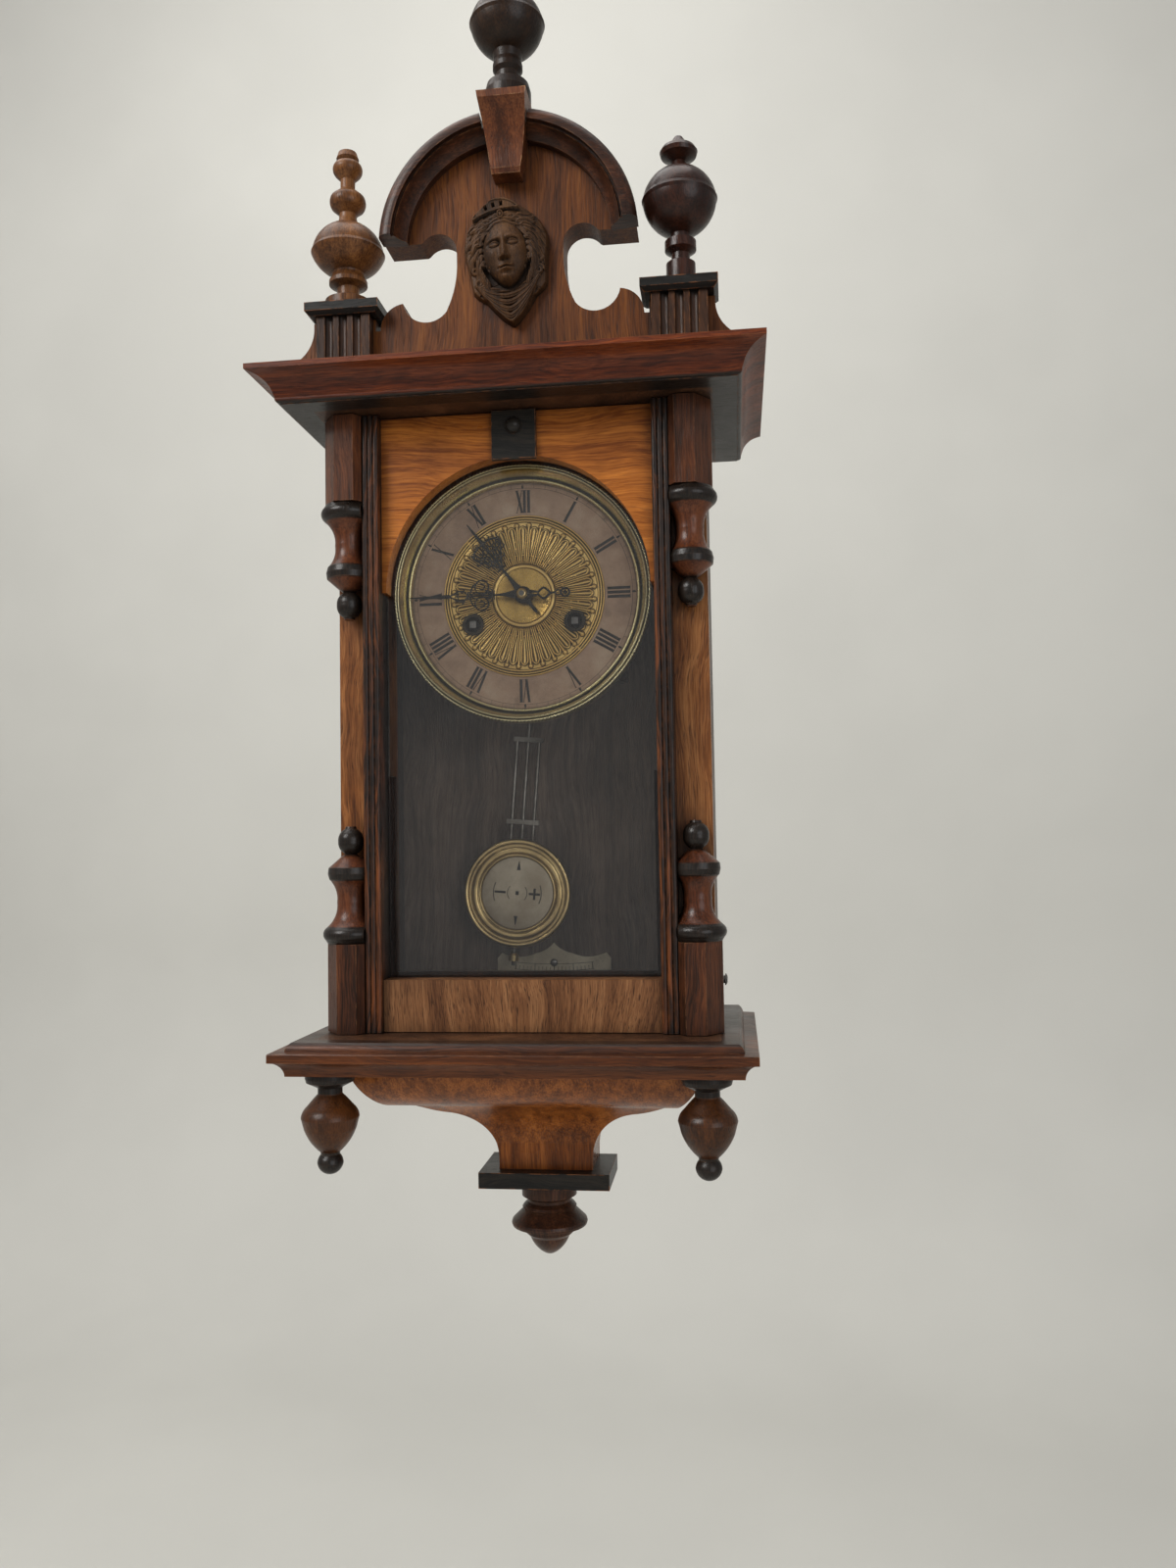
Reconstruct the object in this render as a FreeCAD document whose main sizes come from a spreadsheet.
import FreeCAD, Part
import math
import os

import Sketcher

# Pendulum wall clock. Frame: X to the right, Y into the wall, Z up, in millimetres. The origin is the
# centre of the keyhole in the hanger plate, on the wall plane y = 0. The clock's front faces -Y.

os.makedirs("parts", exist_ok=True)
doc = FreeCAD.newDocument("pendulum_wall_clock")
V = FreeCAD.Vector
Rotation = FreeCAD.Rotation


# --- driving dimensions -------------------------------------------------------------------------

DIMENSIONS = {
    # mouldings: half width, how far the front stands off the wall, top height and depth of section
    "cornice_half": 145, "cornice_front": 162, "cornice_top": 20, "cornice_tall": 18.7,
    "base_half": 132.3, "base_front": 163, "base_top": -358, "base_tall": 18,
    # case
    "case_half": 110, "case_deep": 85, "board": 12, "back": 10,
    # bracket below the case
    "bracket_foot": -455, "neck_half": 29.5, "neck_deep": 40,
    "plinth_half": 41, "plinth_deep": 50, "plinth_tall": 9.8,
    # crest
    "crest_front": 122, "crest_thick": 18, "arch_radius": 75.5, "arch_inner": 60, "arch_centre": 96.5,
    "pedestal_x": 97.9, "pedestal_half": 16, "pedestal_proud": 8, "pedestal_tall": 38.5,
    "cap_half": 22, "cap_tall": 7.4, "cap_front": 134, "cap_deep": 26,
    # door
    "door_back": 85.4, "door_front": 103, "door_top": 0.6, "door_foot": -357.5,
    "strip_inner": 80, "strip_outer": 89.7, "strip_front": 122, "rail_top": -328, "rail_front": 118,
    "panel_front": 115, "glass_front": 105, "glass_thick": 2, "arch_opening": 77.6,
    "block_front": 127.5, "block_height": 50.6, "column_x": 100.5, "column_y": 113,
    # hinges and latch
    "hinge_x": -112.7, "hinge_y": -85.2, "knuckle": 2.3, "pin": 1.2, "play": 0.05,
    "latch_z": -331.4, "latch_y": -95, "latch_reach": 14.5,
    # dial, concentric with the centre arbor
    "dial_z": -102.7, "dial_back": 89, "bezel_radius": 77.3, "plate_radius": 75.5,
    "ring_outer": 68.4, "ring_inner": 48.9, "wind_x": 30.8, "wind_drop": 16.5,
    # movement, heights counted from the centre arbor
    "front_plate": 80, "back_plate": 44, "plate_thick": 2, "plate_half": 58,
    "verge_rise": 30.7, "escape_rise": 15, "stud_rise": 12,
    "great_module": 0.832, "motion_module": 0.5, "hour_module": 0.48,
    # pendulum
    "swing_y": 28, "swing_angle": 4.75, "bob_drop": 211.3, "bob_radius": 35,
}


class Size:
    """A length from the sheet: its number, and the text that binds a property to its cell."""

    def __init__(self, value, text):
        self.value = float(value)
        self.text = text

    def __neg__(self):
        return Size(-self.value, f"-({self.text})")

    def __add__(self, other):
        return Size(self.value + value(other), f"({self.text} + {text(other)})")

    def __sub__(self, other):
        return Size(self.value - value(other), f"({self.text} - {text(other)})")

    def __radd__(self, other):
        return Size(value(other) + self.value, f"({text(other)} + {self.text})")

    def __rsub__(self, other):
        return Size(value(other) - self.value, f"({text(other)} - {self.text})")

    def __mul__(self, factor):
        return Size(self.value * value(factor), f"({self.text} * {text(factor)})")

    __rmul__ = __mul__


def value(size):
    return size.value if isinstance(size, Size) else float(size)


def text(size):
    return size.text if isinstance(size, Size) else f"{size:.6g}"


class Dims:
    """The spreadsheet, with one attribute for each alias."""

    def __init__(self, table):
        sheet = doc.addObject("Spreadsheet::Sheet", "dims")
        for row, (alias, number) in enumerate(table.items(), start=1):
            sheet.set(f"A{row}", alias)
            sheet.set(f"B{row}", str(number))
            sheet.setAlias(f"B{row}", alias)
            setattr(self, alias, Size(number, f"dims.{alias}"))


d = Dims(DIMENSIONS)
doc.recompute()

CASE_TOP = d.cornice_top - d.cornice_tall        # underside of the cornice, top of the case
FRONT = Rotation(V(1, 0, 0), 90)                 # turns a piece's own +Z to face the room (-Y)
nodes = []


# --- building helpers ---------------------------------------------------------------------------

def bind(thing, prop, size):
    """Give a property its number, and its expression when the size comes from the sheet."""
    if isinstance(size, Size):
        thing.setExpression(prop, size.text)
    elif not prop.startswith("Placement"):
        setattr(thing, prop, size)


def place(thing, at=(0, 0, 0), turn=None):
    thing.Placement = FreeCAD.Placement(V(*[value(a) for a in at]), turn or Rotation())
    for axis, size in zip("xyz", at):
        bind(thing, f"Placement.Base.{axis}", size)
    return thing


def node(thing, label):
    """Name a sub-part; its label is also its file's name."""
    thing.Label = label
    nodes.append(thing)
    return thing


def box(name, xs, ys, zs):
    thing = doc.addObject("Part::Box", name)
    for prop, (low, high) in zip(("Length", "Width", "Height"), (xs, ys, zs)):
        bind(thing, prop, high - low)
    return place(thing, (xs[0], ys[0], zs[0]))


def rod(name, radius, length, at, axis="Z"):
    """A round bar that starts at a point and runs along +X, +Y, -Y or +Z."""
    turns = {"Z": Rotation(), "X": Rotation(V(0, 1, 0), 90), "Y": Rotation(V(1, 0, 0), -90), "-Y": FRONT}
    thing = doc.addObject("Part::Cylinder", name)
    bind(thing, "Radius", radius)
    bind(thing, "Height", length)
    return place(thing, at, turns[axis])


def plane_of(body, role):
    return next(item for item in body.Origin.OriginFeatures if item.Role == role)


def pin_point(sketch, geometry, end, size, kind, axis):
    """Fix one coordinate of a sketch point: on the axis when it is zero, else by a dimension."""
    if not isinstance(size, Size) and size == 0:
        sketch.addConstraint(Sketcher.Constraint("PointOnObject", geometry, end, axis))
        return
    index = sketch.addConstraint(Sketcher.Constraint(kind, -1, 1, geometry, end, value(size)))
    if isinstance(size, Size):
        sketch.setExpression(f"Constraints[{index}]", size.text)


def draw_outline(sketch, points):
    """Close an outline through its corners, anticlockwise. A corner's third number is the radius of
    the arc that leaves it: positive bulges outwards, negative is scooped inwards."""
    starts, ends = [], []
    for here, there in zip(points, points[1:] + points[:1]):
        a = V(value(here[0]), value(here[1]), 0)
        b = V(value(there[0]), value(there[1]), 0)
        if len(here) == 2:
            index = sketch.addGeometry(Part.LineSegment(a, b))
            starts.append((index, 1))
            ends.append((index, 2))
            continue
        radius = abs(here[2])
        chord = b - a
        left = V(-chord.y, chord.x, 0).normalize()
        rise = math.sqrt(radius ** 2 - (chord.Length / 2) ** 2)
        centre = (a + b) * 0.5 + left * math.copysign(rise, here[2])
        first, last = (a, b) if here[2] > 0 else (b, a)
        circle = Part.Circle(centre, V(0, 0, 1), radius)
        begin = math.atan2(first.y - centre.y, first.x - centre.x)
        finish = math.atan2(last.y - centre.y, last.x - centre.x)
        index = sketch.addGeometry(Part.ArcOfCircle(circle, begin, finish))
        sketch.addConstraint(Sketcher.Constraint("Radius", index, radius))
        starts.append((index, 1 if here[2] > 0 else 2))
        ends.append((index, 2 if here[2] > 0 else 1))
    for number, corner in enumerate(points):
        sketch.addConstraint(Sketcher.Constraint("Coincident", *ends[number - 1], *starts[number]))
        pin_point(sketch, *starts[number], corner[0], "DistanceX", -2)
        pin_point(sketch, *starts[number], corner[1], "DistanceY", -1)


def draw_circle(sketch, across, up, radius):
    index = sketch.addGeometry(Part.Circle(V(value(across), value(up), 0), V(0, 0, 1), value(radius)))
    pin_point(sketch, index, 3, across, "DistanceX", -2)
    pin_point(sketch, index, 3, up, "DistanceY", -1)
    number = sketch.addConstraint(Sketcher.Constraint("Radius", index, value(radius)))
    if isinstance(radius, Size):
        sketch.setExpression(f"Constraints[{number}]", radius.text)


def sketch_on(body, role, outlines, circles=()):
    sketch = body.newObject("Sketcher::SketchObject", body.Name + "_sketch")
    sketch.AttachmentSupport = (plane_of(body, role), [""])
    sketch.MapMode = "FlatFace"
    for outline in outlines:
        draw_outline(sketch, outline)
    for circle in circles:
        draw_circle(sketch, *circle)
    return sketch


def prism(name, plane, outline, length, at=(0, 0, 0), circles=(), turn=None):
    """Pad an outline. XY pads rise along +Z, XZ pads come forward along -Y, YZ pads run along +X."""
    body = doc.addObject("PartDesign::Body", name)
    sketch = sketch_on(body, plane + "_Plane", [outline] if outline else [], circles)
    pad = body.newObject("PartDesign::Pad", name + "_pad")
    pad.Profile = sketch
    bind(pad, "Length", length)
    sketch.Visibility = False
    return place(body, at, turn)


def turned(name, outline, at=(0, 0, 0), turn=None, angle=360):
    """Spin an outline of (radius, height) corners about the piece's own Z axis."""
    body = doc.addObject("PartDesign::Body", name)
    sketch = sketch_on(body, "XZ_Plane", [outline])
    spin = body.newObject("PartDesign::Revolution", name + "_spin")
    spin.Profile = sketch
    spin.ReferenceAxis = (sketch, ["V_Axis"])
    spin.Angle = angle
    sketch.Visibility = False
    return place(body, at, turn)


def cut(name, base, *tools):
    for number, tool in enumerate(tools, start=1):
        result = doc.addObject("Part::Cut", f"{name}_{number}")
        result.Base, result.Tool = base, tool
        base = result
    return base


def common(name, base, tool):
    result = doc.addObject("Part::Common", name)
    result.Base, result.Tool = base, tool
    return result


def fuse(name, *pieces):
    result = doc.addObject("Part::MultiFuse", name)
    result.Shapes = list(pieces)
    return result


def mirror(name, source):
    """The same piece on the other side of the clock."""
    result = doc.addObject("Part::Mirroring", name)
    result.Source = source
    result.Normal = V(1, 0, 0)
    return result


def group(name, *pieces):
    """Separate solids that share one node."""
    result = doc.addObject("Part::Compound", name)
    result.Links = list(pieces)
    return result


def pair(name, piece):
    return group(name + "_pair", piece, mirror(name + "_mirror", piece))


def both_halves(right):
    """A whole outline from its right half, listed from the lower centre to the upper centre."""
    left = []
    for number in range(len(right) - 1, 0, -1):
        x, z = right[number][:2]
        arc = right[number - 1][2:]
        left.append((-1 * x if x else 0, z) + tuple(arc))
    x, z = right[0][:2]
    if x:
        left.append((-1 * x, z))
    top = right[-1]
    if not top[0]:
        return right[:-1] + left
    return right + left


def gear(name, teeth, module, thick, at, tooth_angle, bore=0):
    """A spur wheel facing the room, with one tooth pointing at tooth_angle from +X towards +Z."""
    pitch = math.pi * value(module)
    radius = teeth * value(module) / 2
    root = radius - 1.15 * value(module)
    tip = radius + 0.8 * value(module)
    body = doc.addObject("PartDesign::Body", name)
    circles = [(0, 0, root)] + ([(0, 0, bore)] if bore else [])
    blank = body.newObject("PartDesign::Pad", name + "_blank")
    blank.Profile = sketch_on(body, "XY_Plane", [], circles)
    blank.Length = thick
    foot = root - 0.3 * value(module)
    tooth = [(foot, -0.27 * pitch), (radius, -0.2 * pitch), (tip, -0.1 * pitch),
             (tip, 0.1 * pitch), (radius, 0.2 * pitch), (foot, 0.27 * pitch)]
    one = body.newObject("PartDesign::Pad", name + "_tooth")
    tooth_sketch = sketch_on(body, "XY_Plane", [tooth])
    one.Profile = tooth_sketch
    one.Length = thick
    ring = body.newObject("PartDesign::PolarPattern", name + "_teeth")
    ring.Originals = [one]
    ring.Axis = (tooth_sketch, ["N_Axis"])
    ring.Angle = 360
    ring.Occurrences = teeth
    body.Tip = ring
    return place(body, at, FRONT * Rotation(V(0, 0, 1), tooth_angle))


# --- case -----------------------------------------------------------------------------------------

def mitred_moulding(name, half, front, top, section, width):
    """Front length and two returns of one moulding, cut at 45 degrees at the corners.
    section lists (distance in from the outer face, height from the top)."""
    def length_of(part, face, start, long, turn):
        outline = [(d_in - face, top + rise) + tuple(arc) for d_in, rise, *arc in section]
        return prism(f"{name}_{part}", "YZ", outline, long, start, turn=turn)

    deep = 60
    bar = length_of("front_bar", front, (-half, 0, 0), half * 2, None)
    wedge = [(-half, -front), (half, -front), (half - width, width - front), (width - half, width - front)]
    trim = prism(f"{name}_front_trim", "XY", wedge, deep, (0, 0, top - deep / 2))
    middle = common(f"{name}_front", bar, trim)
    side_bar = length_of("side_bar", half, (0, -front, 0), front, Rotation(V(0, 0, 1), 90))
    wedge = [(half, 0), (half - width, 0), (half - width, width - front), (half, -front)]
    side_trim = prism(f"{name}_side_trim", "XY", wedge, deep, (0, 0, top - deep / 2))
    right = common(f"{name}_right", side_bar, side_trim)
    return group(name + "_lengths", middle, right, mirror(f"{name}_left", right))


def build_case():
    side = d.case_half - d.board
    box("back_panel", (-side, side), (-d.back, 0), (d.base_top, CASE_TOP))
    side_board = box("side_panel", (side, d.case_half), (-d.case_deep, 0), (d.base_top, CASE_TOP))
    node(pair("side", side_board), "side_boards")

    cornice_strip, base_strip = 30, 20
    inner = d.cornice_half - cornice_strip
    box("top_panel", (-inner, inner), (cornice_strip - d.cornice_front, 0), (CASE_TOP, d.cornice_top))
    inner = d.base_half - base_strip
    foot = d.base_top - d.base_tall
    node(box("base_panel", (-inner, inner), (base_strip - d.base_front, 0), (foot, d.base_top)),
         "base_board")

    # fillet, cove and bead, then the flat underside
    section = [(0, 0), (0, -3), (3, -3.8, -13), (12.3, -13.4), (13.2, -15.6, 1.9), (15.4, -18.2),
               (15.6, -1 * d.cornice_tall), (cornice_strip, -1 * d.cornice_tall), (cornice_strip, 0)]
    node(mitred_moulding("cornice", d.cornice_half, d.cornice_front, d.cornice_top, section, cornice_strip),
         "cornice")
    # ovolo, step, fillet, and a cove drawn in to the bottom edge
    section = [(10.2, 0, 6), (7.4, -4.4), (0.3, -4.7), (0, -5.2), (0, -9.6), (2.6, -10.2, -9),
               (7.4, -1 * d.base_tall), (base_strip, -1 * d.base_tall), (base_strip, 0)]
    node(mitred_moulding("base", d.base_half, d.base_front, d.base_top, section, base_strip),
         "base_moulding")


def build_bracket():
    """Ogee bracket: the front outline and the side outline meet at mitred corners."""
    top = d.base_top - d.base_tall
    foot = d.bracket_foot
    # both outlines swell out below the moulding, then hollow in to an upright neck
    front = both_halves([(0, foot), (d.neck_half, foot), (d.neck_half, foot + 6, -33),
                         (60, foot + 38.5, 54), (103.5, top), (0, top)])
    side = [(0, foot), (0, top), (-118, top, 33), (-86, top - 29.5, -50), (-d.neck_deep, foot + 16),
            (-d.neck_deep, foot)]
    wide = prism("bracket_front_view", "XZ", front, 130)
    deep = prism("bracket_side_view", "YZ", side, 220, (-110, 0, 0))
    node(common("bracket_body", wide, deep), "bracket")

    drop = foot - d.plinth_tall
    plinth = box("plinth", (-d.plinth_half, d.plinth_half), (-d.plinth_deep, 0), (drop, foot))
    node(plinth, "bracket_plinth")
    outline = [(0, -45.4), (3, -45.2, 20), (12.6, -34.2), (15, -32), (15.2, -29.8, -12), (23.6, -27),
               (24.1, -25.4), (23.6, -23.8), (16.5, -17), (17.2, -15.8), (16.2, -14.4), (14, -12.4),
               (14, -10.6), (17.4, -8.6), (17.6, 0), (0, 0)]
    node(turned("bottom_turning", outline, (0, -27, drop)), "bottom_finial")

    outline = [(0, -56.1), (2.6, -55.6, 7.2), (7.2, -49.6, 7.2), (5.2, -45), (5.6, -43.6, 30), (14.4, -31),
               (16.1, -24.6, 9), (13, -18.8), (9, -14.2), (6.8, -12), (6.8, -8.4), (13.2, -5.2), (13.8, -3),
               (13.8, 0), (0, 0)]
    right = turned("drop_turning", outline, (104.5, -140, top))
    node(pair("drop", right), "drop_finials")


def build_crest():
    low = d.cornice_top
    up = d.arch_centre
    half = [(0, low), (133, low), (133, low + 14, -22), (118, low + 34), (118, low + 38), (80.5, low + 38),
            (80.5, low + 31), (77.5, low + 31, 15), (64, low + 46.5, -14.6), (38, low + 40, -62),
            (31.4, low + 66), (31.4, low + 75.4, -11.2), (42.6, low + 86.6, -11.2), (51.4, low + 82.3),
            (52.8, low + 81.5), (74.2, low + 81.5, 74.4), (0, up + 73.2)]
    node(prism("crest_panel", "XZ", both_halves(half), d.crest_thick, (0, d.crest_thick - d.crest_front, 0)),
         "crest_board")

    # a rounded outer bead, a narrow quirk and a scooped inner slope
    outline = [(d.arch_inner, 0), (d.arch_radius, 0), (d.arch_radius, 9, 6.6), (69, 15.5), (67.2, 15.5),
               (67.2, 12.6), (66.2, 12.6), (65.6, 13.8, -16), (d.arch_inner, 5.2)]
    # each half runs from the foot of the board up to the keystone's flank
    from_foot = 3.8
    sweep = 78.6 - from_foot
    half_arch = turned("arch_half", outline, (0, -d.crest_front, up),
                       FRONT * Rotation(V(0, 0, 1), from_foot), sweep)
    node(pair("arch", half_arch), "arch_mouldings")

    top, bottom = up + 79, up + 37
    wedge = [(-8, bottom), (8.6, bottom), (14.6, top), (-14, top)]
    block = prism("keystone_view", "XZ", wedge, 26, (0, -d.crest_front, 0))
    side = [(-d.crest_front, bottom), (-d.crest_front, top), (-146, top), (-146, top - 4, -40),
            (-134, bottom + 3), (-133, bottom)]
    node(common("keystone_block", block, prism("keystone_side", "YZ", side, 40, (-20, 0, 0))), "keystone")

    skull = doc.addObject("Part::Ellipsoid", "head_mass")
    skull.Radius1, skull.Radius2, skull.Radius3 = 29, 26, 14
    place(skull, (-1, -(d.crest_front + 8), 92.4))
    scarf = [(4, 47.4), (8.6, 49.4), (17.4, 62), (23.6, 68), (24.6, 92), (-26.4, 92), (-21.4, 70),
             (-12.6, 63), (-4, 52)]
    cloth = prism("head_scarf", "XZ", scarf, 15, (0, -d.crest_front, 0))
    whole = fuse("head_whole", skull, cloth)
    behind = box("head_behind", (-40, 40), (-d.crest_front, -60), (40, 150))
    node(cut("head_trimmed", whole, behind), "carved_head")


def build_pedestals():
    low = d.cornice_top
    face = d.crest_front + d.pedestal_proud
    x = d.pedestal_x
    block = box("pedestal_block", (x - d.pedestal_half, x + d.pedestal_half), (-face, -d.crest_front),
                (low, low + d.pedestal_tall))
    grooves = [rod(f"flute_{n}", 2.6, 60, (x + shift, -face - 0.6, low - 5))
               for n, shift in enumerate((-8.4, 0, 8.4))]
    node(pair("pedestal", cut("pedestal_fluted", block, *grooves)), "pedestals")

    under = low + d.pedestal_tall
    slab = box("cap_slab", (x - d.cap_half, x + d.cap_half), (-d.cap_front, d.cap_deep - d.cap_front),
               (under, under + d.cap_tall))
    slab_edges = doc.addObject("Part::Chamfer", "cap_chamfered")
    slab_edges.Base = slab
    doc.recompute()
    under_face = value(under)
    edges = [n for n, edge in enumerate(slab.Shape.Edges, start=1)
             if all(abs(v.Z - under_face) < 0.01 for v in edge.Vertexes)]
    slab_edges.Edges = [(n, 2.4, 2.4) for n in edges]
    node(pair("cap", slab_edges), "pedestal_caps")


def build_finials():
    cap = d.cornice_top + d.pedestal_tall + d.cap_tall
    y = -120
    left = [(0, 0), (13.5, 0), (13.5, 4.4), (6.5, 8), (6.5, 12.6), (11.2, 14.6), (11.2, 17, -9), (9.4, 20.6),
            (9.6, 21.6, 20), (20.8, 31.6), (21.6, 33.4), (20.8, 35.2, 20), (6.2, 51), (5.2, 55), (5.2, 57.6),
            (9.6, 61.4, 6.5), (9.6, 68.4), (4.3, 73), (4.3, 78.4), (7.2, 81.4, 5), (7.2, 88.6), (5.2, 89.8),
            (6.6, 91.6), (5.4, 95.2), (2.8, 96.6), (0, 97)]
    node(turned("left_turning", left, (-97.6, y, cap)), "finial_left")

    right = [(0, 0), (8.4, 0), (8.4, 12.4), (5.3, 14), (5.3, 18), (9, 20.4), (9, 25.4), (5.6, 27),
             (5.6, 29.6), (8.7, 31, 22), (21, 48), (21.7, 49.8), (21, 51.6, 22), (4.6, 68.6), (3.9, 72.4),
             (10.2, 76), (10.9, 78.2), (9.6, 80.4), (4.4, 84), (2.4, 87.2), (0, 88)]
    node(turned("right_turning", right, (98.9, y, cap)), "finial_right")

    key_top = d.arch_centre + 79
    foot = [(0, 0), (13.4, 0), (13.4, 9), (12.2, 13.6), (6.9, 17), (6.9, 20.4), (8.7, 22.8), (8.7, 25.6),
            (8, 28.4)]
    ball = [(8.7, 32.6, 22.4), (21.2, 48.2), (22, 50), (21.2, 51.8, 22.4), (9.4, 66.6)]
    knob = [(4.6, 69), (3.9, 72.6), (9.6, 76.2), (10.4, 78.6), (9.2, 81), (4.4, 84.6), (2.4, 87.8),
            (0, 88.6)]
    node(turned("top_turning", foot + ball + knob, (1, -126, key_top)), "finial_top")


def build_fixings():
    """Keyhole hanger plate flush with the back, the beat scale plaque and the small screws."""
    plate = box("hanger_blank", (-14, 14), (-2, 0), (-34, 10))
    hole = rod("hanger_hole", 4.5, 4, (0, -3, 0), "Y")
    slot = box("hanger_slot", (-2, 2), (-3, 1), (0, 8))
    # the plate sits in a pocket in the back of the back board, with a hollow behind the keyhole
    screw_at = [(0, -16), (0, -28)]
    holes = [rod(f"hanger_screw_hole_{n}", 1.6, 4, (x, -3, z), "Y") for n, (x, z) in enumerate(screw_at)]
    node(cut("hanger_cut", plate, hole, slot, *holes), "hanger_plate")
    recess = box("hanger_recess", (-14.1, 14.1), (-2, 1), (-34.1, 12))
    hollow = box("hanger_hollow", (-7, 7), (-7, 1), (-7, 9))
    pilots = [rod(f"pilot_{n}", 1.55, 8, (x, -9, z), "Y") for n, (x, z) in enumerate(screw_at)]
    back, top = doc.getObject("back_panel"), doc.getObject("top_panel")
    node(cut("back_cut", back, recess, hollow, *pilots), "back_board")
    node(cut("top_cut", top, recess, hollow), "top_board")
    screws = [rod(f"hanger_screw_{n}", 1.5, 8.6, (x, -9, z), "Y") for n, (x, z) in enumerate(screw_at)]

    scale_mid, floor = 2.8, d.base_top + 16
    # a low pediment along the top of the plaque, with a peak between two hollows
    bow = [(scale_mid - 37.5, floor), (scale_mid + 37.5, floor), (scale_mid + 37.5, floor + 16),
           (scale_mid + 34.5, floor + 19.5, -26), (scale_mid + 12, floor + 19, -20),
           (scale_mid, floor + 26, -20), (scale_mid - 12, floor + 19, -26),
           (scale_mid - 34.5, floor + 19.5), (scale_mid - 37.5, floor + 16)]
    node(prism("scale_plaque", "XZ", bow, 1.6, (0, -d.back, 0)), "beat_scale")
    dome = [(0, 0), (2.4, 0), (2.4, 0.5, 2.8), (0.4, 1.4), (0, 1.4)]
    heads = [turned(f"plaque_screw_{n}", dome, (scale_mid, -(d.back + 1.6), floor + rise), FRONT)
             for n, rise in enumerate((13, 4))]
    latch_eye = latch_pivot("latch_stud", d.latch_y + d.latch_reach)
    node(group("screw_set", *screws, *heads, latch_eye), "case_screws")


# --- door -----------------------------------------------------------------------------------------

def build_door():
    front, back = -d.door_front, -d.door_back
    stile = box("stile", (d.strip_inner, d.case_half), (front, back), (d.door_foot, d.door_top))
    node(pair("stile", stile), "door_stiles")
    rail = box("rail", (-d.strip_inner, d.strip_inner), (-d.rail_front, back), (d.door_foot, d.rail_top))
    node(rail, "door_bottom_rail")

    reed_width = (d.strip_outer - d.strip_inner) * (1 / 3)
    reeds = [(d.strip_inner + n * reed_width, -d.strip_front, 1.9) for n in range(3)]
    outline = reeds + [(d.strip_outer, -d.strip_front), (d.strip_outer, front), (d.strip_inner, front)]
    strip = prism("strip", "XY", outline, d.door_top - d.door_foot, (0, 0, d.door_foot))
    node(pair("strip", strip), "reeded_strips")

    blank = box("panel_blank", (-d.strip_inner, d.strip_inner), (-d.panel_front, -d.glass_front),
                (d.dial_z, d.door_top))
    opening = rod("panel_opening", d.arch_opening, 40, (0, -130, d.dial_z), "Y")
    node(cut("panel_cut", blank, opening), "door_head_panel")

    glass_back = d.glass_thick - d.glass_front
    pane = box("pane", (0.1 - d.strip_inner, d.strip_inner - 0.1), (-d.glass_front, glass_back),
               (d.rail_top, d.door_top))
    node(pane, "door_glass")
    bead_top = -210
    side_bead = box("side_bead", (d.strip_inner - 3.2, d.strip_inner), (glass_back, glass_back + 6),
                    (d.rail_top, bead_top))
    foot_bead = box("foot_bead", (3.2 - d.strip_inner, d.strip_inner - 3.2), (glass_back, glass_back + 6),
                    (d.rail_top, d.rail_top + 3.2))
    node(group("bead_set", side_bead, mirror("left_bead", side_bead), foot_bead), "glass_beads")

    head = box("head_square", (-13, 13), (-(d.panel_front + 3.4), -d.panel_front), (-28, d.door_top))
    stud = turned("head_button", [(0, 0), (4.7, 0), (4.7, 1.2, 5.2), (0.5, 4.4), (0, 4.4)],
                  (0, -(d.panel_front + 3.4), -8.6), FRONT)
    node(group("head_set", head, stud), "head_block")


def build_columns():
    inner = d.strip_outer + 0.05
    face, back = -d.block_front, -d.door_front
    outline = [(93.25, face), (104.75, face), (114, -115.5), (114, back), (inner, back), (inner, -123.2)]
    upper = prism("upper_block", "XY", outline, d.block_height, (0, 0, d.door_top - d.block_height))
    lower = prism("lower_block", "XY", outline, d.block_height, (0, 0, d.door_foot))
    blocks = [upper, lower, mirror("upper_block_left", upper), mirror("lower_block_left", lower)]
    node(group("block_set", *blocks), "column_blocks")

    # from the block: black ring, waist, flared ring, neck and ball
    tall = 67.6
    outline = [(0, -tall), (3, -tall), (3.4, -tall + 1.4, 7.4), (7.4, -tall + 8.8, 7.4), (3.4, -tall + 16),
               (6.4, -tall + 18.2), (9, -tall + 20.5), (13, -tall + 24), (13.4, -tall + 27.4),
               (12.6, -tall + 30.6, -16), (8.2, -tall + 44, -16), (13, -tall + 57.4), (14.8, -tall + 59, 4.6),
               (14.8, -tall + 65.6), (13.6, -tall + tall), (0, 0)]
    keep = box("column_keep", (inner, 130), (-140, back), (-400, 40))
    axis = (d.column_x, -d.column_y)
    top = turned("upper_turning", outline, (*axis, d.door_top - d.block_height))
    foot = turned("lower_turning", outline, (axis[0], axis[1], d.door_foot + d.block_height),
                  Rotation(V(1, 0, 0), 180))
    halves = [common(f"baluster_{name}", piece, keep) for name, piece in (("upper", top), ("lower", foot))]
    others = [mirror(half.Name + "_left", half) for half in halves]
    node(group("baluster_set", *halves, *others), "balusters")


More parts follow.
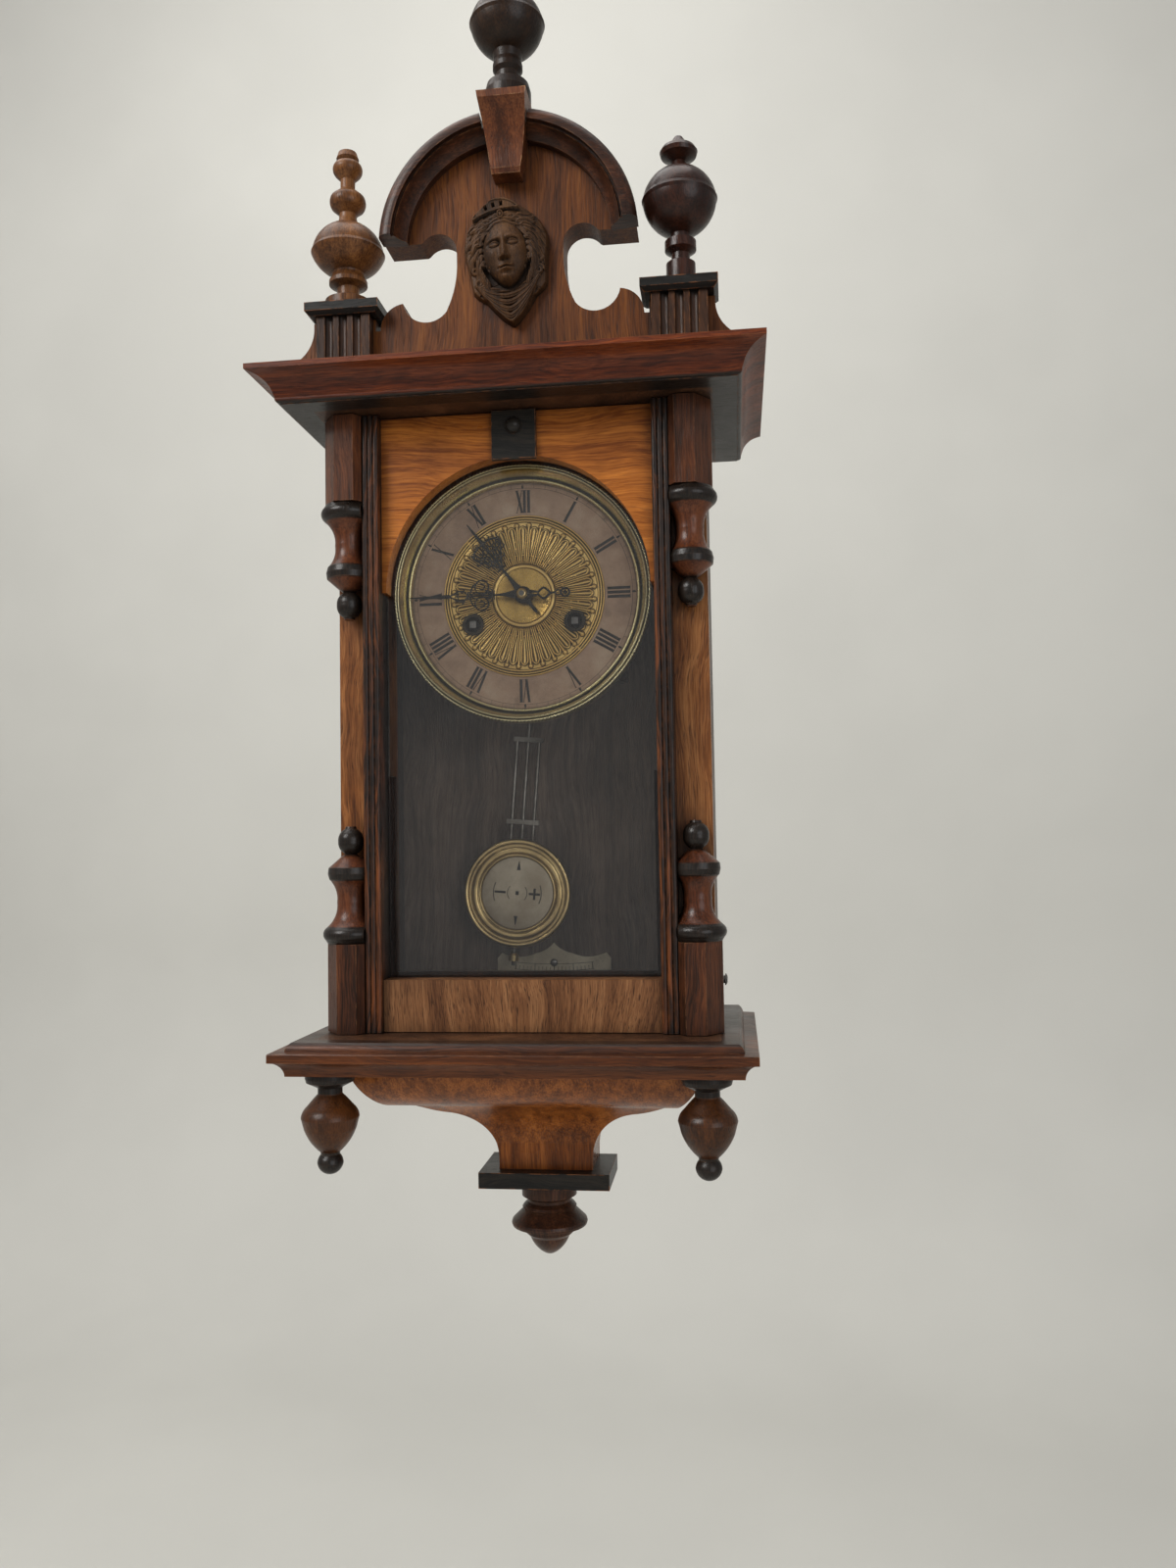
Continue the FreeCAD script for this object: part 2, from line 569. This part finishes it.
def hinge_at(name, z):
    """One butt hinge: case leaf with two knuckles, door leaf with one, and the pin."""
    x, y, r = d.hinge_x, d.hinge_y, d.knuckle
    wood = -d.case_half
    leaf_x = (wood - 1.2, wood)
    tall, middle, slack = 15, 5, 0.2
    case_leaf = box(f"{name}_case_leaf", leaf_x, (y + 0.7, y + 17), (z - tall, z + tall))
    room = rod(f"{name}_room", r + 0.5, 2 * (middle + slack), (x, y, z - middle - slack))
    ears = [rod(f"{name}_ear_{n}", r, tall - middle - slack, (x, y, low))
            for n, low in enumerate((z - tall, z + middle + slack))]
    case_side = fuse(f"{name}_case_solid", cut(f"{name}_case_cut", case_leaf, room), *ears)
    bore = rod(f"{name}_case_bore", d.pin, 2 * tall, (x, y, z - tall))

    door_leaf = box(f"{name}_door_leaf", leaf_x, (y - 17, y - 0.9), (z - tall, z + tall))
    ends = [rod(f"{name}_end_{n}", r + 0.5, tall - middle + slack, (x, y, low))
            for n, low in enumerate((z - tall, z + middle - slack))]
    knuckle = rod(f"{name}_knuckle", r, 2 * (middle - slack), (x, y, z - middle + slack))
    door_side = fuse(f"{name}_door_solid", cut(f"{name}_door_cut", door_leaf, *ends), knuckle)
    running = rod(f"{name}_door_bore", d.pin + d.play, 2 * tall, (x, y, z - tall))
    pin = rod(f"{name}_pin", d.pin, 2 * tall + 2, (x, y, z - tall - 1))
    return cut(f"{name}_case", case_side, bore), cut(f"{name}_door", door_side, running), pin


def latch_pivot(name, y):
    """A round-headed stud that stands out of the right side."""
    outline = [(0, 0), (1.4, 0), (1.4, 4.6), (2.5, 4.8), (2.5, 5.3, 3), (0.4, 6.2), (0, 6.2)]
    return turned(name, outline, (d.case_half, y, d.latch_z), Rotation(V(0, 1, 0), 90))


def build_hinges_and_latch():
    upper, lower = hinge_at("upper_hinge", -30), hinge_at("lower_hinge", -330)
    for label, first, second in zip(("hinge_case_leaves", "hinge_door_leaves", "hinge_pins"), upper, lower):
        node(group(label + "_set", first, second), label)

    wood, z, y = d.case_half, d.latch_z, d.latch_y
    node(latch_pivot("hook_pivot", y), "hook_screw")
    # ring, shank and a jaw that opens towards the side it swings to
    reach = d.latch_reach
    ring = rod("hook_ring", 3, 1.6, (wood + 2, y, z), "X")
    shank = box("hook_shank", (wood + 2, wood + 3.6), (y - 1.1, y + 1.1), (z - reach + 2.4, z - 2))
    jaw = rod("hook_jaw", 3.4, 1.6, (wood + 2, y, z - reach), "X")
    whole = fuse("hook_whole", ring, shank, jaw)
    hole = rod("hook_hole", 1.4 + d.play, 4, (wood + 1, y, z), "X")
    mouth = rod("hook_mouth", 1.75, 4, (wood + 1, y, z - reach), "X")
    gap = box("hook_gap", (wood + 1, wood + 5), (y, y + 5), (z - reach - 1.75, z - reach + 1.75))
    node(cut("hook_cut", whole, hole, mouth, gap), "latch_hook")


# --- dial and hands ---------------------------------------------------------------------------------

def build_dial():
    z, back = d.dial_z, -d.dial_back
    holes = [(0, 0, 3.7), (d.wind_x, -d.wind_drop, 5.7), (-d.wind_x, -d.wind_drop, 5.7)]

    def disc(name, outer, inner, start, thick, circles):
        rims = [(0, 0, outer)] + ([(0, 0, inner)] if inner else []) + circles
        return prism(name, "XZ", None, thick, (0, start, z), rims)

    plate = disc("dial_disc", d.plate_radius, None, back, 1, holes)
    spots = [(48, 32), (-48, 32), (0, -41)]
    gap = d.dial_back - d.front_plate
    feet = [rod(f"dial_foot_{n}", 2, gap, (x, back, z + rise), "Y") for n, (x, rise) in enumerate(spots)]
    node(fuse("dial_plate_solid", plate, *feet), "dial_plate")
    node(disc("numeral_ring", d.ring_outer, d.ring_inner, back - 1, 0.6, []), "chapter_ring")

    outline = [(0, 0), (d.ring_inner - 0.05, 0), (d.ring_inner - 0.05, 1.2, 1.2), (46.6, 1.5),
               (44.6, 0.8, 80), (19, 1.4), (17.6, 2.2), (16.4, 1.4, -120), (0, 0.6)]
    centre = turned("embossed_blank", outline, (0, back - 1, z), FRONT)
    bores = [rod(f"embossed_bore_{n}", r, 8, (x, back - 6, z + rise), "Y")
             for n, (x, rise, r) in enumerate(holes)]
    node(cut("embossed_cut", centre, *bores), "dial_centre")

    outline = [(d.ring_outer + 0.05, 1.2), (d.plate_radius + 0.05, 1.2), (d.plate_radius + 0.05, -1),
               (d.bezel_radius - 0.6, -1), (d.bezel_radius, 4.4), (d.bezel_radius, 9.2, 2.6),
               (74.2, 12.2, -14), (71, 4.4), (70.6, 3.2), (69.6, 4.6), (d.ring_outer + 0.05, 3.4)]
    node(turned("bezel_ring", outline, (0, back, z), FRONT), "bezel")

    outline = [(4.4, -0.6), (5.6, -0.6), (5.6, 2.2), (6.6, 2.3), (6.2, 2.8), (4.7, 2.9), (4.4, 2.5)]
    eyelet = turned("eyelet", outline, (d.wind_x, back - 1, z - d.wind_drop), FRONT)
    node(pair("eyelet", eyelet), "winding_eyelets")


def pointer(name, outline, thick, front, angle, bore, hub):
    """A hand drawn pointing up, then turned clockwise to its hour."""
    place_turn = Rotation(V(0, 1, 0), angle)
    blade = prism(name, "XZ", outline, thick, (0, front, 0))
    boss = rod(name + "_boss", hub, thick, (0, front, 0), "-Y")
    solid = fuse(name + "_solid", blade, boss)
    hand = cut(name + "_cut", solid, rod(name + "_bore", bore, 10, (0, front - 6, 0), "Y"))
    return place(hand, (0, 0, d.dial_z), place_turn)


def build_hands():
    # flats that widen round a pierced scroll, then run out to a thin point
    minute = both_halves([(0, -29), (2.6, -26.5), (1.4, -22), (3.2, -17), (1.2, -12), (1.4, 12), (4.6, 18),
                          (5.6, 25), (2.6, 32), (1.3, 36), (0.5, 68.6), (0, 68.8)])
    hour = both_halves([(0, -14), (2.4, -11), (1.4, -6), (1.6, 14), (7.2, 21), (8.6, 28), (4.2, 36),
                        (1.6, 40), (0.6, 55), (0, 55.4)])
    minute_turn, hour_turn = 270, 322.5
    node(pointer("minute_blade", minute, 1, -96.2, minute_turn, 1.6, 4), "minute_hand")
    node(pointer("hour_blade", hour, 0.9, -93.7, hour_turn, 3.05, 5), "hour_hand")
    nut = turned("nut_turning", [(1.62, 0), (3.2, 0), (3.2, 1, 2.4), (2, 2), (1.62, 2)],
                 (0, -97.2, d.dial_z), FRONT)
    node(nut, "hand_nut")


# --- movement ---------------------------------------------------------------------------------------

BARREL_TEETH, PINION_TEETH = 72, 12
MINUTE_TEETH, MINUTE_PINION, HOUR_TEETH = 36, 10, 40


def build_movement_frame():
    z = d.dial_z
    arbors = [(0, 0, 2.05), (0, d.verge_rise, 1.25), (0, d.escape_rise, 1.05),
              (d.wind_x, -d.wind_drop, 2.55), (-d.wind_x, -d.wind_drop, 2.55)]
    half = d.plate_half
    outline = [(-half, -48), (half, -48), (half, 44), (-half, 44)]
    starts = (("plate_front", d.plate_thick - d.front_plate), ("plate_back", -d.back_plate))
    plates = [prism(name, "XZ", outline, d.plate_thick, (0, start, z), arbors) for name, start in starts]
    stud = rod("minute_stud", 1.5, 8, (0, -d.front_plate, z + d.stud_rise), "-Y")
    hammer_stud = rod("hammer_stud", 1.5, 6.5, (34, -d.back_plate, z + 25), "Y")
    front = fuse("plate_front_solid", plates[0], stud)
    rear = fuse("plate_back_solid", plates[1], hammer_stud)
    between = d.front_plate - d.back_plate - 2 * d.plate_thick
    corners = [(x, rise) for x in (-54, 54) for rise in (-44, 39)]
    pillars = [rod(f"pillar_{n}", 3, between, (x, d.plate_thick - d.front_plate, z + rise), "Y")
               for n, (x, rise) in enumerate(corners)]
    node(group("frame_set", front, rear, *pillars), "movement_frame")

    # iron brackets that carry the movement, and the cock that the pendulum hangs from
    foot = box("bracket_foot_plate", (44, 52), (-(d.back + 2), -d.back), (z - 44, z + 42))
    arms = [box(f"bracket_arm_{n}", (44, 52), (-d.back_plate, -d.back), (z + rise, z + rise + 6))
            for n, rise in enumerate((-42, 34))]
    iron = fuse("movement_iron", foot, *arms)
    verge = z + d.verge_rise
    feet = [rod(f"cock_foot_{n}", 2, 10, (x, -d.back_plate, verge), "Y") for n, x in enumerate((-9, 9))]
    bridge = box("cock_bridge", (-12, 12), (-34.5, -32.5), (verge - 5, verge + 5))
    pin = rod("cock_pin", 1.5, 8.6, (0, -33, verge), "Y")
    stop = rod("cock_head", 2.4, 1, (0, -24.4, verge), "Y")
    cock = fuse("cock_solid", *feet, bridge, pin, stop)
    node(group("iron_set", iron, mirror("movement_iron_left", iron), cock), "movement_brackets")


def build_train():
    z = d.dial_z
    wind_z = z - d.wind_drop
    lean = math.degrees(math.atan2(-value(d.wind_drop), value(d.wind_x)))
    front = d.front_plate

    # centre arbor: driven by the great wheel, and carrying the cannon pinion and the minute hand
    steel = rod("centre_steel", 2, 47.3, (0, -d.back_plate, z), "-Y")
    nose = rod("centre_nose", 1.58, 8, (0, -91, z), "-Y")
    driven = gear("centre_pinion", PINION_TEETH, d.great_module, 6, (0, -70, z), lean)
    wheel = gear("centre_wheel", 60, 0.4, 1.4, (0, -47.2, z), 0)
    cannon = gear("cannon_pinion", PINION_TEETH, d.motion_module, 2.4, (0, -82, z), 90)
    node(fuse("centre_solid", steel, nose, driven, wheel, cannon), "centre_arbor")

    bore = 2.6
    tooth = lean + 180 + 180 / BARREL_TEETH
    great = gear("great_wheel", BARREL_TEETH, d.great_module, 2, (d.wind_x, -72.5, wind_z), tooth, bore)
    node(drum_with(great, "going", d.wind_x, wind_z, -54, 18.5, bore), "going_barrel")
    second = gear("strike_wheel", 66, d.great_module, 2, (-d.wind_x, -50, wind_z), 0, bore)
    node(drum_with(second, "strike", -d.wind_x, wind_z, -52, 18, bore), "strike_barrel")

    for label, x in (("winding_arbor_going", d.wind_x), ("winding_arbor_strike", -d.wind_x)):
        shaft = rod(label + "_round", 2.5, front - d.back_plate + 6, (x, -d.back_plate, wind_z), "-Y")
        square = box(label + "_square", (x - 2, x + 2), (-93, -85), (wind_z - 2, wind_z + 2))
        node(fuse(label + "_solid", shaft, square), label)

    # motion work between the front plate and the dial
    stud_z = z + d.stud_rise
    tooth = -90 + 180 / MINUTE_TEETH
    minute = gear("minute_wheel_teeth", MINUTE_TEETH, d.motion_module, 1.8, (0, -82.2, stud_z), tooth, 1.55)
    small = gear("minute_wheel_pinion", MINUTE_PINION, d.hour_module, 3.2, (0, -84, stud_z), 0, 1.55)
    node(fuse("minute_wheel_solid", minute, small), "minute_wheel")
    hour = gear("hour_wheel_teeth", HOUR_TEETH, d.hour_module, 1.6, (0, -85.3, z), 90, 2.06)
    pipe = turned("hour_pipe", [(2.06, 0), (3, 0), (3, 9.4), (2.06, 9.4)], (0, -85.3, z), FRONT)
    node(fuse("hour_wheel_solid", hour, pipe), "hour_wheel")


def drum_with(wheel, name, x, z, start, long, bore):
    drum = turned(f"{name}_drum", [(bore, 0), (24, 0), (24, long), (bore, long)], (x, start, z), FRONT)
    return fuse(f"{name}_barrel_solid", wheel, drum)


def build_escapement():
    z = d.dial_z
    escape_z = z + d.escape_rise
    verge = z + d.verge_rise
    radius = 11
    body = doc.addObject("PartDesign::Body", "escape_teeth")
    hub = body.newObject("PartDesign::Pad", "escape_hub")
    hub.Profile = sketch_on(body, "XY_Plane", [], [(0, 0, 9)])
    hub.Length = 1.5
    tooth_sketch = sketch_on(body, "XY_Plane", [[(8.6, -0.7), (radius, -0.55), (radius, -0.4), (8.6, 0.8)]])
    tooth = body.newObject("PartDesign::Pad", "escape_tooth")
    tooth.Profile = tooth_sketch
    tooth.Length = 1.5
    ring = body.newObject("PartDesign::PolarPattern", "escape_ring")
    ring.Originals = [tooth]
    ring.Axis = (tooth_sketch, ["N_Axis"])
    ring.Angle = 360
    ring.Occurrences = 30
    body.Tip = ring
    place(body, (0, -58.5, escape_z), FRONT)
    arbor = rod("escape_arbor", 1, d.front_plate - d.back_plate, (0, -d.back_plate, escape_z), "-Y")
    node(fuse("escape_solid", body, arbor), "escape_wheel")

    # anchor and crutch, drawn plumb about the verge arbor and then swung with the pendulum
    arms = both_halves([(0, 3), (6.8, -5.6), (8.4, -5), (9.8, -1.6), (6, 3.2), (0, 5.4)])
    anchor = prism("anchor_arms", "XZ", arms, 2.2, (0, -58.1, 0))
    hub = rod("anchor_hub", 3, 2.2, (0, -58.1, 0), "-Y")
    verge_arbor = rod("verge_arbor", 1.2, 41, (0, -39, 0), "-Y")
    crutch_hub = rod("crutch_hub", 3, 1.8, (0, -40, 0), "-Y")
    crutch = box("crutch_arm", (-1.5, 1.5), (-41.8, -40), (-52, -1))
    yoke = box("crutch_yoke", (-3.4, 3.4), (-41.8, -24.5), (-52, -49))
    gap = box("crutch_gap", (-1.7, 1.7), (-38, -20), (-60, -40))
    prongs = cut("crutch_prongs", yoke, gap)
    whole = fuse("anchor_solid", anchor, hub, verge_arbor, crutch_hub, crutch, prongs)
    node(place(whole, (0, 0, verge), Rotation(V(0, 1, 0), value(d.swing_angle))), "anchor")


def build_pendulum():
    """Drawn plumb below the pin it hangs from, then swung to the left."""
    pin = (0, -d.swing_y, d.dial_z + d.verge_rise)
    lean = Rotation(V(0, 1, 0), value(d.swing_angle))
    eye = rod("rod_eye", 3.4, 5, (0, -2.5, 0), "Y")
    stem = rod("rod_stem", 1.4, 109, (0, 0, -112))
    bars = [box(f"cross_bar_{n}", (-half, half), (-1.6, 1.6), (low, low + 3))
            for n, (half, low) in enumerate(((9.4, -113.5), (10.6, -167)))]
    sides = [rod(f"side_rod_{n}", 1.2, 72, (x, 0, -183)) for n, x in enumerate((-7.2, 7.2))]
    middle = rod("middle_rod", 1.2, 147, (0, 0, -258))
    whole = fuse("rods_fused", eye, stem, *bars, *sides, middle)
    bore = rod("rod_bore", 1.5 + d.play, 12, (0, -6, 0), "Y")
    node(place(cut("rods_cut", whole, bore), pin, lean), "pendulum_rods")

    r = d.bob_radius
    outline = [(0, 1.3), (r - 1.5, 1.3), (r, 3, 2.6), (r - 4.6, 4.4), (r - 5, 5.2), (r - 7, 5.2),
               (r - 7.6, 3.6), (0, 5)]
    disc = turned("bob_disc", outline, (0, 0, -d.bob_drop), FRONT)
    node(place(group("bob_set", disc), pin, lean), "pendulum_bob")
    nut = turned("nut_disc", [(1.25, 0), (3.4, 0), (3.4, 3.4), (2.2, 5), (1.25, 5)], (0, 0, -255))
    node(place(group("nut_set", nut), pin, lean), "rating_nut")


def build_strike():
    z = d.dial_z
    pivot_z = z + 25
    boss = rod("hammer_boss", 3.4, 4, (34, -43.4, pivot_z), "Y")
    arm = box("hammer_arm", (32.8, 35.2), (-42.4, -40.4), (pivot_z - 50, pivot_z - 2))
    head = rod("hammer_head", 3, 28, (35, -42.4, pivot_z - 50), "Y")
    solid = fuse("hammer_solid", boss, arm, head)
    node(cut("hammer_cut", solid, rod("hammer_bore", 1.5 + d.play, 10, (34, -46, pivot_z), "Y")),
         "strike_hammer")

    # coil of round wire made of half turns, each 3 mm wider than the last
    wire_radius, gong_y, gong_z = 1.1, -17, value(z) - 27
    side, x = 1, 10.0
    turns = []
    for number in range(7):
        half_turn = 10 + 3 * number
        far = x - side * 2 * half_turn
        crown = V((x + far) / 2, gong_y, gong_z + side * half_turn)
        turns.append(Part.Arc(V(x, gong_y, gong_z), crown, V(far, gong_y, gong_z)).toShape())
        x, side = far, -side
    path = Part.Wire(turns)
    section = Part.Wire(Part.Circle(V(10, gong_y, gong_z), V(0, 0, 1), wire_radius).toShape())
    wire = doc.addObject("Part::Feature", "gong_wire")
    wire.Shape = path.makePipeShell([section], True, False)
    block = box("gong_block", (-13, 13), (-17, -d.back), (gong_z - 4, gong_z + 4))
    node(fuse("gong_solid", wire, block), "gong")


# --- build, check and write ---------------------------------------------------------------------------

build_case()
build_bracket()
build_crest()
build_pedestals()
build_finials()
build_fixings()
build_door()
build_columns()
build_hinges_and_latch()
build_dial()
build_hands()
build_movement_frame()
build_train()
build_escapement()
build_pendulum()
build_strike()
doc.recompute()

for thing in doc.Objects:
    if {"Invalid", "Error"} & set(thing.State):
        raise RuntimeError(f"{thing.Name} failed: {thing.State}")
for piece in nodes:
    if piece.Shape.isNull() or not piece.Shape.isValid() or not piece.Shape.Solids:
        raise RuntimeError(f"{piece.Label} is not a valid solid")
print(len(nodes), "sub-parts")
if len(nodes) > 60 or len({piece.Label for piece in nodes}) != len(nodes):
    raise RuntimeError("there are too many sub-parts, or two share a name")
for piece in nodes:
    piece.Shape.exportStep(f"parts/{piece.Label}.step")
    print(piece.Label, len(piece.Shape.Solids), round(piece.Shape.Volume))
